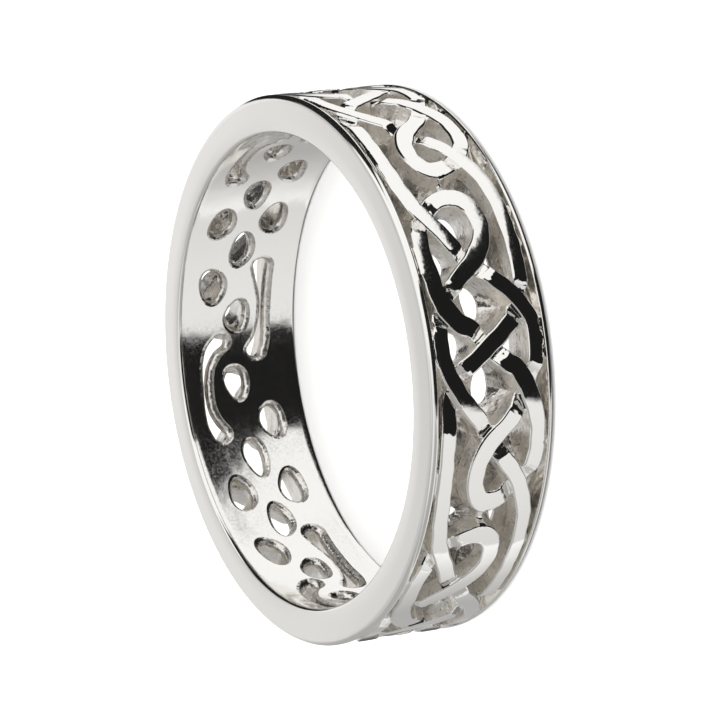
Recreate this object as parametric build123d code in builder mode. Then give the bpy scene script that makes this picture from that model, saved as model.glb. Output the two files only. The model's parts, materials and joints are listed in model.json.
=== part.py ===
from build123d import *
import os
from math import atan2, cos, degrees, hypot, pi, radians, sin, tan

# A pierced finger ring with an endless woven strand between two plain rails.
# It lies on its side: the bore runs along Z and one flat edge rests on z = 0.
# Lengths are millimetres, angles degrees.

# Driving dimensions
bore_diameter = 18.2
wall_thickness = 1.45
band_width = 5.3
rail_width = 0.30
groove_width = 0.10
groove_depth = 0.30
strand_width = 0.67
sleeve_wall = 0.55
chisel_depth = 0.18
chisel_width = 0.16
bore_edge_round = 0.15
outer_edge_round = 0.20

# Pattern round the ring: the repeats crowd a little on one side, as a hand-fitted
# pattern does, by up to the drift in degrees.
repeats = 5
first_crossing_angle = -93.3
pattern_drift = 4.0

# How the gaps between the strands are traced and cut
points_per_row = 6
outline_corners = 30
trace_step = 0.01
trace_limit = 3.4
cutter_clearance = 0.05
cutter_reach_inside = 0.65
pocket_taper = 0.8
same_place = 1e-6

bore_radius = bore_diameter / 2
outer_radius = bore_radius + wall_thickness
repeat_angle = 360 / repeats
field_half = band_width / 2 - rail_width
floor_radius = bore_radius + sleeve_wall

# The strand's centre line over one repeat, charted by eye from the centre crossing.
# Columns: along (share of a repeat), across (share of the band's width), and
# breadth (share of the strand's width). The looping run goes round both hooks,
# and the diagonal run crosses over its middle.
looping_run = [
    (-0.500, -0.337, 0.95), (-0.424, -0.272, 1.00), (-0.368, -0.190, 1.00),
    (-0.320, -0.095, 1.00), (-0.257, 0.020, 1.00), (-0.188, 0.150, 1.00),
    (-0.146, 0.235, 1.00), (-0.104, 0.300, 1.00), (-0.049, 0.360, 0.95),
    (0.007, 0.378, 0.92), (0.060, 0.362, 0.95), (0.112, 0.310, 1.00),
    (0.150, 0.245, 1.00), (0.178, 0.180, 1.00), (0.206, 0.100, 1.05),
    (0.238, 0.000, 1.10), (0.280, -0.095, 1.12), (0.340, -0.152, 1.05),
    (0.393, -0.145, 1.12), (0.433, -0.088, 1.20), (0.446, 0.000, 1.22),
    (0.440, 0.090, 1.12), (0.422, 0.180, 1.00), (0.390, 0.270, 1.00),
    (0.338, 0.340, 1.00), (0.265, 0.362, 1.00), (0.180, 0.345, 1.10),
    (0.115, 0.300, 1.20), (0.066, 0.215, 1.20), (0.043, 0.120, 1.10),
    (0.000, 0.000, 1.00), (-0.054, -0.120, 1.10), (-0.076, -0.200, 1.15),
    (-0.140, -0.287, 1.15), (-0.212, -0.342, 1.05), (-0.275, -0.360, 1.00),
    (-0.342, -0.338, 1.00), (-0.392, -0.270, 1.00), (-0.424, -0.170, 1.05),
    (-0.443, -0.075, 1.15), (-0.446, 0.010, 1.20), (-0.424, 0.085, 1.15),
    (-0.378, 0.118, 1.10), (-0.318, 0.090, 1.10), (-0.265, 0.000, 1.10),
    (-0.228, -0.100, 1.05), (-0.186, -0.200, 1.00), (-0.130, -0.290, 1.00),
    (-0.055, -0.358, 0.95), (0.015, -0.376, 0.92), (0.070, -0.345, 0.95),
    (0.130, -0.255, 1.00), (0.172, -0.155, 1.00), (0.225, -0.025, 1.00),
    (0.284, 0.105, 1.00), (0.330, 0.165, 1.00), (0.412, 0.282, 1.00),
    (0.500, 0.343, 1.00),
]
diagonal_run = [
    (-0.500, 0.343, 1.00), (-0.424, 0.356, 1.00), (-0.354, 0.363, 0.95),
    (-0.285, 0.360, 0.95), (-0.208, 0.350, 0.95), (-0.150, 0.330, 0.95),
    (-0.092, 0.280, 1.00), (-0.060, 0.205, 1.00), (-0.036, 0.110, 1.05),
    (-0.005, 0.000, 1.08), (0.030, -0.120, 1.05), (0.066, -0.220, 1.00),
    (0.112, -0.293, 0.95), (0.155, -0.332, 0.92), (0.208, -0.347, 0.90),
    (0.271, -0.357, 0.90), (0.340, -0.361, 0.90), (0.417, -0.356, 0.90),
    (0.500, -0.337, 0.95),
]

# The windows of one repeat, pierced through between the strands. Columns: name, the
# seed in the gap outside (along, across), and the oval at the bore: along, across,
# half length (shares of a repeat), half height (share of the width), tilt in degrees.
windows = [
    ("above_crossing", -0.005, 0.220, 0.010, 0.220, 0.066, 0.110, 0),
    ("below_crossing", 0.000, -0.240, 0.005, -0.215, 0.066, 0.110, 0),
    ("left_of_crossing", -0.140, -0.020, -0.120, 0.000, 0.072, 0.100, 0),
    ("right_of_crossing", 0.125, 0.020, 0.130, 0.000, 0.072, 0.095, 0),
    ("upper_right", 0.225, 0.215, 0.265, 0.215, 0.066, 0.115, -6),
    ("lower_left", -0.235, -0.205, -0.240, -0.215, 0.062, 0.110, -4),
    ("right_eye", 0.355, 0.010, 0.385, -0.005, 0.062, 0.105, 0),
    ("left_eye", -0.350, -0.020, -0.385, 0.035, 0.062, 0.105, 0),
    ("lower_slot", 0.360, -0.255, 0.365, -0.235, 0.180, 0.080, 0),
    ("upper_slot", -0.360, 0.250, -0.365, 0.240, 0.160, 0.080, 0),
]

# Shallow pockets against the rails, closed by the sleeve. Columns: along, across, and
# half length and half height in the same shares, which only space the corners.
pockets = [
    (0.398, 0.385, 0.080, 0.035),
    (-0.412, -0.388, 0.080, 0.035),
]


def ring_angle(turn):
    """Angle round the ring of a place counted in repeats from the first crossing."""
    even = first_crossing_angle + turn * repeat_angle
    return even - pattern_drift * sin(radians(even))


def flat_along(turn):
    """Length along the unrolled outside for a place counted in repeats."""
    return radians(turn * repeat_angle) * outer_radius


def turn_of(flat_x):
    """The place in repeats of a length along the unrolled outside."""
    return degrees(flat_x / outer_radius) / repeat_angle


def smooth_run(rows):
    """Points on the smooth curve through a run's rows, with the breadth beside them."""
    first = tuple(2 * a - b for a, b in zip(rows[0], rows[1]))
    last = tuple(2 * a - b for a, b in zip(rows[-1], rows[-2]))
    padded = [first] + rows + [last]
    points = []
    for i in range(1, len(padded) - 2):
        for k in range(points_per_row):
            s = k / points_per_row
            points.append(tuple(
                b + 0.5 * s * ((c - a) + s * (2 * a - 5 * b + 4 * c - d)
                               + s * s * (3 * b - a - 3 * c + d))
                for a, b, c, d in zip(*padded[i - 1:i + 3])))
    return points + [rows[-1]]


def unrolled(points, shift=0):
    """Flat x, y and half width of a run's points, moved by whole repeats."""
    return [(flat_along(along + shift), across * band_width, breadth * strand_width / 2)
            for along, across, breadth in points]


looping_strand = unrolled(smooth_run(looping_run))
diagonal_strand = unrolled(smooth_run(diagonal_run))
nearby_strands = [
    unrolled(smooth_run(run), shift)
    for run in (looping_run, diagonal_run) for shift in (-1, 0, 1)]
strand_legs = [leg for strand in nearby_strands for leg in zip(strand, strand[1:])]


def to_strand(x, y, legs):
    """Distance from a flat point to the nearest strand's side or groove."""
    nearest = field_half - groove_width - abs(y)
    for (x0, y0, half0), (x1, y1, half1) in legs:
        leg_x, leg_y = x1 - x0, y1 - y0
        share = ((x - x0) * leg_x + (y - y0) * leg_y) / (leg_x ** 2 + leg_y ** 2)
        share = min(max(share, 0), 1)
        half = half0 + share * (half1 - half0)
        nearest = min(nearest, hypot(x - x0 - share * leg_x, y - y0 - share * leg_y) - half)
    return nearest


def corner_directions(half_length, half_height):
    """Directions to evenly spaced corners of an oval, its sizes in shares."""
    length = flat_along(half_length)
    height = half_height * band_width
    turns = [2 * pi * corner / outline_corners for corner in range(outline_corners)]
    return [atan2(height * sin(turn), length * cos(turn)) for turn in turns]


def gap_outline(along, across, half_length, half_height):
    """Flat corner points of the gap between the strands round a seed."""
    seed_x = flat_along(along)
    seed_y = across * band_width
    legs = [leg for leg in strand_legs if abs(leg[0][0] - seed_x) < trace_limit]
    directions = corner_directions(half_length, half_height)
    reaches = []
    for angle in directions:
        reach = 0
        step = to_strand(seed_x, seed_y, legs)
        while step > trace_step and reach < trace_limit:
            reach += step
            step = to_strand(seed_x + reach * cos(angle), seed_y + reach * sin(angle), legs)
        reaches.append(reach)
    corners = []
    for corner, (reach, angle) in enumerate(zip(reaches, directions)):
        beside = (reaches[corner - 1] + reaches[(corner + 1) % outline_corners]) / 2
        softened = min(reach, (reach + beside) / 2)
        corners.append((seed_x + softened * cos(angle), seed_y + softened * sin(angle)))
    return corners


def oval_outline(along, across, half_length, half_height, tilt):
    """Flat corner points of an oval on the bore, its sizes in shares."""
    corners = []
    for corner in range(outline_corners):
        angle = 2 * pi * corner / outline_corners
        x = flat_along(half_length) * cos(angle)
        y = half_height * band_width * sin(angle)
        turned_x = x * cos(radians(tilt)) - y * sin(radians(tilt))
        turned_y = x * sin(radians(tilt)) + y * cos(radians(tilt))
        corners.append((flat_along(along) + turned_x, across * band_width + turned_y))
    return corners


def radial_plane(angle, radius, across=0.0, heading=0.0):
    """Plane square to the radius at an angle, its x round the ring turned by a heading."""
    out = Vector(cos(radians(angle)), sin(radians(angle)), 0)
    origin = out * radius + Vector(0, 0, band_width / 2 + across)
    round_the_ring = Vector(-out.Y, out.X, 0)
    x_dir = round_the_ring * cos(heading) + Vector(0, 0, 1) * sin(heading)
    return Plane(origin, x_dir=x_dir, z_dir=out)


def seen_on_plane(corners, turn_shift, angle, radius):
    """Flat corners thrown from the ring's axis onto a radial plane."""
    thrown = []
    for x, y in corners:
        swing = radians(ring_angle(turn_of(x) + turn_shift) - angle)
        thrown.append((radius * tan(swing), y))
    return thrown


def gap_cutter(outer_corners, inner_corners, inner_radius, turn_shift):
    """Solid that tapers from a gap's outline outside to a smaller one further in."""
    centre_x = sum(x for x, y in outer_corners) / outline_corners
    angle = ring_angle(turn_of(centre_x) + turn_shift)
    with BuildPart() as cutter:
        for corners, radius in (
                (outer_corners, outer_radius + cutter_clearance),
                (inner_corners, inner_radius)):
            with BuildSketch(radial_plane(angle, radius)):
                with BuildLine():
                    Spline(*seen_on_plane(corners, turn_shift, angle, radius),
                           periodic=True)
                make_face()
        loft(ruled=True)
    return cutter.part


def shrunk(corners, share):
    """The same corners drawn towards their middle."""
    middle_x = sum(x for x, y in corners) / len(corners)
    middle_y = sum(y for x, y in corners) / len(corners)
    return [(middle_x + share * (x - middle_x), middle_y + share * (y - middle_y))
            for x, y in corners]


def crossings():
    """Where one repeat's strands cross: flat place, over and under directions."""
    runs = {"looping": looping_strand, "diagonal": diagonal_strand}
    legs = [(name, i, run[i], run[i + 1])
            for name, run in runs.items() for i in range(len(run) - 1)]
    passes = {name: [] for name in runs}
    for k, (name_a, i, a0, a1) in enumerate(legs):
        for name_b, j, b0, b1 in legs[k + 2:]:
            ax, ay = a1[0] - a0[0], a1[1] - a0[1]
            bx, by = b1[0] - b0[0], b1[1] - b0[1]
            turn = ax * by - ay * bx
            if abs(turn) < same_place ** 2:
                continue
            cx, cy = b0[0] - a0[0], b0[1] - a0[1]
            along_a = (cx * by - cy * bx) / turn
            along_b = (cx * ay - cy * ax) / turn
            if 0 <= along_a < 1 and 0 <= along_b < 1:
                place = (a0[0] + along_a * ax, a0[1] + along_a * ay)
                heading_a = (atan2(ay, ax), a0[2])
                heading_b = (atan2(by, bx), b0[2])
                passes[name_a].append((i + along_a, place, heading_a, heading_b))
                passes[name_b].append((j + along_b, place, heading_b, heading_a))
    found = []
    for name, first_over in (("looping", 0), ("diagonal", 1)):
        for place, over, under in [p[1:] for p in sorted(passes[name])][first_over::2]:
            found.append((place, over, under))
    return found


# Windows and pockets: one tapered cutter each, in every repeat.
window_outlines = [
    (gap_outline(along, across, bore[2], bore[3]), oval_outline(*bore))
    for name, along, across, *bore in windows]
pocket_outlines = [gap_outline(*pocket) for pocket in pockets]
cutters = []
for repeat in range(repeats):
    for outside, at_bore in window_outlines:
        cutters.append(
            gap_cutter(outside, at_bore, bore_radius - cutter_reach_inside, repeat))
    for outside in pocket_outlines:
        cutters.append(
            gap_cutter(outside, shrunk(outside, pocket_taper), floor_radius, repeat))

# Chisel marks: where a strand dives under another, a small step on each side of it.
chisel_marks = []
for (x, y), (over_heading, over_half), (under_heading, under_half) in crossings():
    slant = abs(sin(under_heading - over_heading))
    step = (over_half + chisel_width / 2) / slant
    faces = []
    for repeat in range(repeats):
        for side in (step, -step):
            mark_x = x + side * cos(under_heading)
            mark_y = y + side * sin(under_heading)
            mark_angle = ring_angle(turn_of(mark_x) + repeat)
            faces.append(radial_plane(mark_angle, outer_radius, mark_y, over_heading))
    chisel_marks.append((faces, 2 * under_half / slant))

# Band: a turned ring with a groove inside each rail, pierced and chiselled.
with BuildPart() as ring_band:
    with BuildSketch(Plane.XZ):
        with Locations(((bore_radius + outer_radius) / 2, band_width / 2)):
            Rectangle(outer_radius - bore_radius, band_width)
        groove_centre = field_half - groove_width / 2
        with Locations(
                (outer_radius - groove_depth / 2, band_width / 2 - groove_centre),
                (outer_radius - groove_depth / 2, band_width / 2 + groove_centre)):
            Rectangle(groove_depth, groove_width, mode=Mode.SUBTRACT)
    revolve(axis=Axis.Z)
    for rim_radius, edge_round in (
            (bore_radius, bore_edge_round), (outer_radius, outer_edge_round)):
        rims = ring_band.edges().filter_by(GeomType.CIRCLE).filter_by(
            lambda edge: abs(edge.radius - rim_radius) < same_place
            and min(edge.center().Z, band_width - edge.center().Z) < same_place)
        fillet(rims, edge_round)
    add(cutters, mode=Mode.SUBTRACT)
    for faces, length in chisel_marks:
        with Locations(*faces):
            Box(length, chisel_width, 2 * chisel_depth, mode=Mode.SUBTRACT)

ring_band.part.label = "ring_band"
os.makedirs("parts", exist_ok=True)
export_step(ring_band.part, "parts/ring_band.step")
print("volume mm3", ring_band.part.volume, "solids", len(ring_band.part.solids()))
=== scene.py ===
"""A pierced knotwork finger ring, cast in silver, lying on a pale studio floor.

Lengths are millimetres on the unrolled band, x along its outside and y across it, until
a point is placed round the ring in metres. The strands, windows and sizes are those of
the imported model. The weave's rise and dive are added, and the long windows are narrower
halfway along.
"""
import json
import logging
import math
from dataclasses import dataclass, field
from enum import Enum
from typing import Iterable, Sequence

import bmesh
import bpy
import numpy as np
import numpy.typing as npt
from mathutils import Matrix, Vector
from mathutils.geometry import delaunay_2d_cdt
from mathutils.kdtree import KDTree


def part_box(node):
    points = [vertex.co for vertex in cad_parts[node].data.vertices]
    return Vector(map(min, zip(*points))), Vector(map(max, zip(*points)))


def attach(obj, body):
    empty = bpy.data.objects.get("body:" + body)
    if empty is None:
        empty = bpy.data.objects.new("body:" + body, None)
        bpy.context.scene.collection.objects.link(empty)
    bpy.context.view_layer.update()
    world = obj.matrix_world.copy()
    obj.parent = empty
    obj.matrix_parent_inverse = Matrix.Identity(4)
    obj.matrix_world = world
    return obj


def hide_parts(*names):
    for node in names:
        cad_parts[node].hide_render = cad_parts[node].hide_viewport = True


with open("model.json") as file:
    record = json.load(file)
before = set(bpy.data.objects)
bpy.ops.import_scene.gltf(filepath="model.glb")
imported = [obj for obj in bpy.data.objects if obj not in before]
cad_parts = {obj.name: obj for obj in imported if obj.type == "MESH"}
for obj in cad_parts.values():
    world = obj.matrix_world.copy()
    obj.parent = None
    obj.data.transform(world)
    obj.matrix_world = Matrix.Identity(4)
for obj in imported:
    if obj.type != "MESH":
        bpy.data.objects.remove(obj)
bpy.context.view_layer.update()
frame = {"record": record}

Array = npt.NDArray[np.float64]
Rows = Sequence[Sequence[float]]
log = logging.getLogger("ring")

MM = 0.001

# Legs whose cross product is under the first are parallel, and a vector shorter than the
# second has no direction.
PARALLEL = 1e-12
NO_LENGTH = 1e-9

# The strand's centre line over one repeat, from the centre crossing. Columns: along
# (share of a repeat), across (share of the width) and breadth (share of the strand's).
LOOPING_RUN: Rows = [
    (-0.500, -0.337, 0.95), (-0.424, -0.272, 1.00), (-0.368, -0.190, 1.00),
    (-0.320, -0.095, 1.00), (-0.257, 0.020, 1.00), (-0.188, 0.150, 1.00),
    (-0.146, 0.235, 1.00), (-0.104, 0.300, 1.00), (-0.049, 0.360, 0.95),
    (0.007, 0.378, 0.92), (0.060, 0.362, 0.95), (0.112, 0.310, 1.00),
    (0.150, 0.245, 1.00), (0.178, 0.180, 1.00), (0.206, 0.100, 1.05),
    (0.238, 0.000, 1.10), (0.280, -0.095, 1.12), (0.340, -0.152, 1.05),
    (0.393, -0.145, 1.12), (0.433, -0.088, 1.20), (0.446, 0.000, 1.22),
    (0.440, 0.090, 1.12), (0.422, 0.180, 1.00), (0.390, 0.270, 1.00),
    (0.338, 0.340, 1.00), (0.265, 0.362, 1.00), (0.180, 0.345, 1.10),
    (0.115, 0.300, 1.20), (0.066, 0.215, 1.20), (0.043, 0.120, 1.10),
    (0.000, 0.000, 1.00), (-0.054, -0.120, 1.10), (-0.076, -0.200, 1.15),
    (-0.140, -0.287, 1.15), (-0.212, -0.342, 1.05), (-0.275, -0.360, 1.00),
    (-0.342, -0.338, 1.00), (-0.392, -0.270, 1.00), (-0.424, -0.170, 1.05),
    (-0.443, -0.075, 1.15), (-0.446, 0.010, 1.20), (-0.424, 0.085, 1.15),
    (-0.378, 0.118, 1.10), (-0.318, 0.090, 1.10), (-0.265, 0.000, 1.10),
    (-0.228, -0.100, 1.05), (-0.186, -0.200, 1.00), (-0.130, -0.290, 1.00),
    (-0.055, -0.358, 0.95), (0.015, -0.376, 0.92), (0.070, -0.345, 0.95),
    (0.130, -0.255, 1.00), (0.172, -0.155, 1.00), (0.225, -0.025, 1.00),
    (0.284, 0.105, 1.00), (0.330, 0.165, 1.00), (0.412, 0.282, 1.00),
    (0.500, 0.343, 1.00),
]
DIAGONAL_RUN: Rows = [
    (-0.500, 0.343, 1.00), (-0.424, 0.356, 1.00), (-0.354, 0.363, 0.95),
    (-0.285, 0.360, 0.95), (-0.208, 0.350, 0.95), (-0.150, 0.330, 0.95),
    (-0.092, 0.280, 1.00), (-0.060, 0.205, 1.00), (-0.036, 0.110, 1.05),
    (-0.005, 0.000, 1.08), (0.030, -0.120, 1.05), (0.066, -0.220, 1.00),
    (0.112, -0.293, 0.95), (0.155, -0.332, 0.92), (0.208, -0.347, 0.90),
    (0.271, -0.357, 0.90), (0.340, -0.361, 0.90), (0.417, -0.356, 0.90),
    (0.500, -0.337, 0.95),
]

# The short low bridge that joins two neighbouring hooks back to back, in the same columns.
HOOK_BRIDGE: Rows = [(0.430, -0.010, 0.45), (0.570, -0.040, 0.45)]

# The ovals that the windows leave at the bore, in one repeat. Columns: a place in the
# gap outside (along, across), then the oval's along, across, half length (shares of a
# repeat), half height (share of the width) and tilt in degrees.
WINDOWS: Rows = [
    (-0.005, 0.220, 0.010, 0.220, 0.066, 0.110, 0),
    (0.000, -0.240, 0.005, -0.215, 0.066, 0.110, 0),
    (-0.140, -0.020, -0.120, 0.000, 0.072, 0.100, 0),
    (0.125, 0.020, 0.130, 0.000, 0.072, 0.095, 0),
    (0.225, 0.215, 0.265, 0.215, 0.066, 0.115, -6),
    (-0.235, -0.205, -0.240, -0.215, 0.062, 0.110, -4),
    (0.355, 0.010, 0.385, -0.005, 0.062, 0.105, 0),
    (-0.350, -0.020, -0.385, 0.035, 0.062, 0.105, 0),
]

# The long windows' centre lines at the bore, in the strand's columns. They are broad at
# both ends and narrow halfway.
LOWER_SLOT: Rows = [
    (0.205, -0.195, 1.45), (0.260, -0.210, 1.15), (0.330, -0.230, 0.80),
    (0.405, -0.225, 0.80), (0.471, -0.200, 1.15), (0.512, -0.155, 1.45),
]
UPPER_SLOT: Rows = [
    (-0.528, 0.140, 1.40), (-0.497, 0.215, 1.20), (-0.440, 0.270, 0.86),
    (-0.370, 0.290, 0.73), (-0.300, 0.295, 0.86), (-0.248, 0.272, 1.20),
    (-0.214, 0.235, 1.40),
]
SLOTS: list[tuple[tuple[float, float], Rows]] = [
    ((0.360, -0.255), LOWER_SLOT), ((-0.360, 0.250), UPPER_SLOT)]


def lengths_along(line: Array) -> Array:
    """How far each point of a flat line lies from its first, measured along it."""
    steps = np.linalg.norm(np.diff(line[:, :2], axis=0), axis=1)
    return np.concatenate(([0], np.cumsum(steps)))


def left_of(ahead: Array) -> Array:
    """Unit vectors square to flat directions, on their left."""
    side = np.column_stack((-ahead[:, 1], ahead[:, 0]))
    return side / np.maximum(np.linalg.norm(side, axis=1, keepdims=True), NO_LENGTH)


def cross(a: Array, b: Array) -> Array:
    """Cross products of flat vectors."""
    return a[..., 0] * b[..., 1] - a[..., 1] * b[..., 0]


@dataclass(frozen=True)
class RingSize:
    """The ring's sizes in millimetres, and how the pattern runs round it."""

    bore_radius: float
    outer_radius: float
    width: float
    rail_width: float = 0.30
    sleeve_wall: float = 0.55
    bore_edge_round: float = 0.15
    outer_edge_round: float = 0.26
    edge_fall: float = 0.05
    repeats: int = 5
    first_crossing_angle: float = -93.3
    pattern_drift: float = 4.0
    bore_hollow: float = 0.08

    @classmethod
    def from_frame(cls) -> "RingSize":
        """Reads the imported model's box and its bore mount.

        Returns:
            The ring's sizes, with the bore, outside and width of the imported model.
        """
        low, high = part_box("ring_band")
        bore = next(m for m in frame["record"]["mounts"] if m["name"] == "finger_bore")
        return cls(bore_radius=bore["dims"]["r_mm"],
                   outer_radius=round((high.x - low.x) / 2 / MM, 3),
                   width=round((high.z - low.z) / MM, 3))

    @property
    def repeat_length(self) -> float:
        """Length of one repeat along the unrolled outside."""
        return 2 * math.pi * self.outer_radius / self.repeats

    @property
    def rail_inside(self) -> float:
        """Distance from the band's middle to a rail's inner edge."""
        return self.width / 2 - self.rail_width

    def bore_at(self, flat_y: Array) -> Array:
        """Radius of the bore across the band, a touch wider in the middle."""
        half = self.width / 2 - self.bore_edge_round
        return self.bore_radius + self.bore_hollow * np.maximum(1 - (flat_y / half) ** 2, 0)

    def ring_angle(self, flat_x: Array) -> Array:
        """Angle in radians round the ring of lengths along the unrolled outside."""
        even = np.radians(self.first_crossing_angle) + flat_x / self.outer_radius
        return even - np.radians(self.pattern_drift) * np.sin(even)

    def directions(self, flat_x: Array) -> tuple[Array, Array]:
        """Outward and forward directions round the ring.

        Args:
            flat_x: lengths along the unrolled outside.

        Returns:
            A unit vector of each kind for each length.
        """
        angle = self.ring_angle(flat_x)
        cosine, sine, none = np.cos(angle), np.sin(angle), np.zeros(len(angle))
        return np.column_stack((cosine, sine, none)), np.column_stack((-sine, cosine, none))

    def place(self, flat: Array, radii: Array) -> Array:
        """Points in metres round the ring.

        Args:
            flat: flat x and y of each point.
            radii: each point's distance from the ring's axis.

        Returns:
            The points' coordinates in the model's frame.
        """
        angle = self.ring_angle(flat[:, 0])
        return MM * np.column_stack((
            radii * np.cos(angle), radii * np.sin(angle), self.width / 2 + flat[:, 1]))


@dataclass(frozen=True)
class StrandShape:
    """How a strand is made, in millimetres."""

    width: float = 0.67
    crown: float = 0.006
    edge_width: float = 0.075
    edge_drop: float = 0.045
    side_slope: float = 3.2
    dive_depth: float = 0.23
    dive_length: float = 0.48
    long_dive_length: float = 1.50
    bridge_depth: float = 0.42

    def edge(self, inside: Array) -> Array:
        """Drop of a top near its edge.

        Args:
            inside: distance inside the edge, negative where the side slopes away.

        Returns:
            How far the surface lies under the top.
        """
        worn = np.clip(1 - inside / self.edge_width, 0, 1)
        return self.edge_drop * worn ** 2 + self.side_slope * np.maximum(-inside, 0)


@dataclass
class Pass:
    """A short stretch of strand with no crossing of its own, as a chain of legs."""

    chain: Array

    def nearest(self, flat: Array) -> tuple[Array, Array, Array]:
        """Nearest place on the stretch to each point.

        Args:
            flat: flat x and y of each point.

        Returns:
            The distance to the centre line, and the half width and dive there.
        """
        start, leg = self.chain[:-1], np.diff(self.chain, axis=0)
        run = leg[:, :2]
        offset = flat[:, None, :] - start[None, :, :2]
        share = np.clip((offset * run).sum(2) / (run ** 2).sum(1), 0, 1)
        gap = np.linalg.norm(offset - share[..., None] * run, axis=2)
        best = gap.argmin(axis=1)
        rows = np.arange(len(flat))
        held = start[best, 2:] + share[rows, best, None] * leg[best, 2:]
        return gap[rows, best], held[:, 0], held[:, 1]

    def reaches(self, flat: Array, margin: float) -> npt.NDArray[np.bool_]:
        """Which points lie within a margin of the stretch's box.

        Args:
            flat: flat x and y of each point.
            margin: how far outside the box still counts.

        Returns:
            True for each point that does.
        """
        low = self.chain[:, :2].min(axis=0) - margin
        high = self.chain[:, :2].max(axis=0) + margin
        return ((flat > low) & (flat < high)).all(axis=1)


@dataclass
class Place:
    """Where a run passes over or under another.

    It lies at a number of legs along the run, and the other strand hides it for so many
    millimetres each way. The two places of one crossing share its pair number.
    """

    run: int
    at: float
    pair: int
    hidden: float
    order: int = 0
    over: bool = False


@dataclass
class Crossing:
    """Two strands where they cross: the upper one's stretch and the lower one's."""

    over: Pass
    under: Pass


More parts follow.
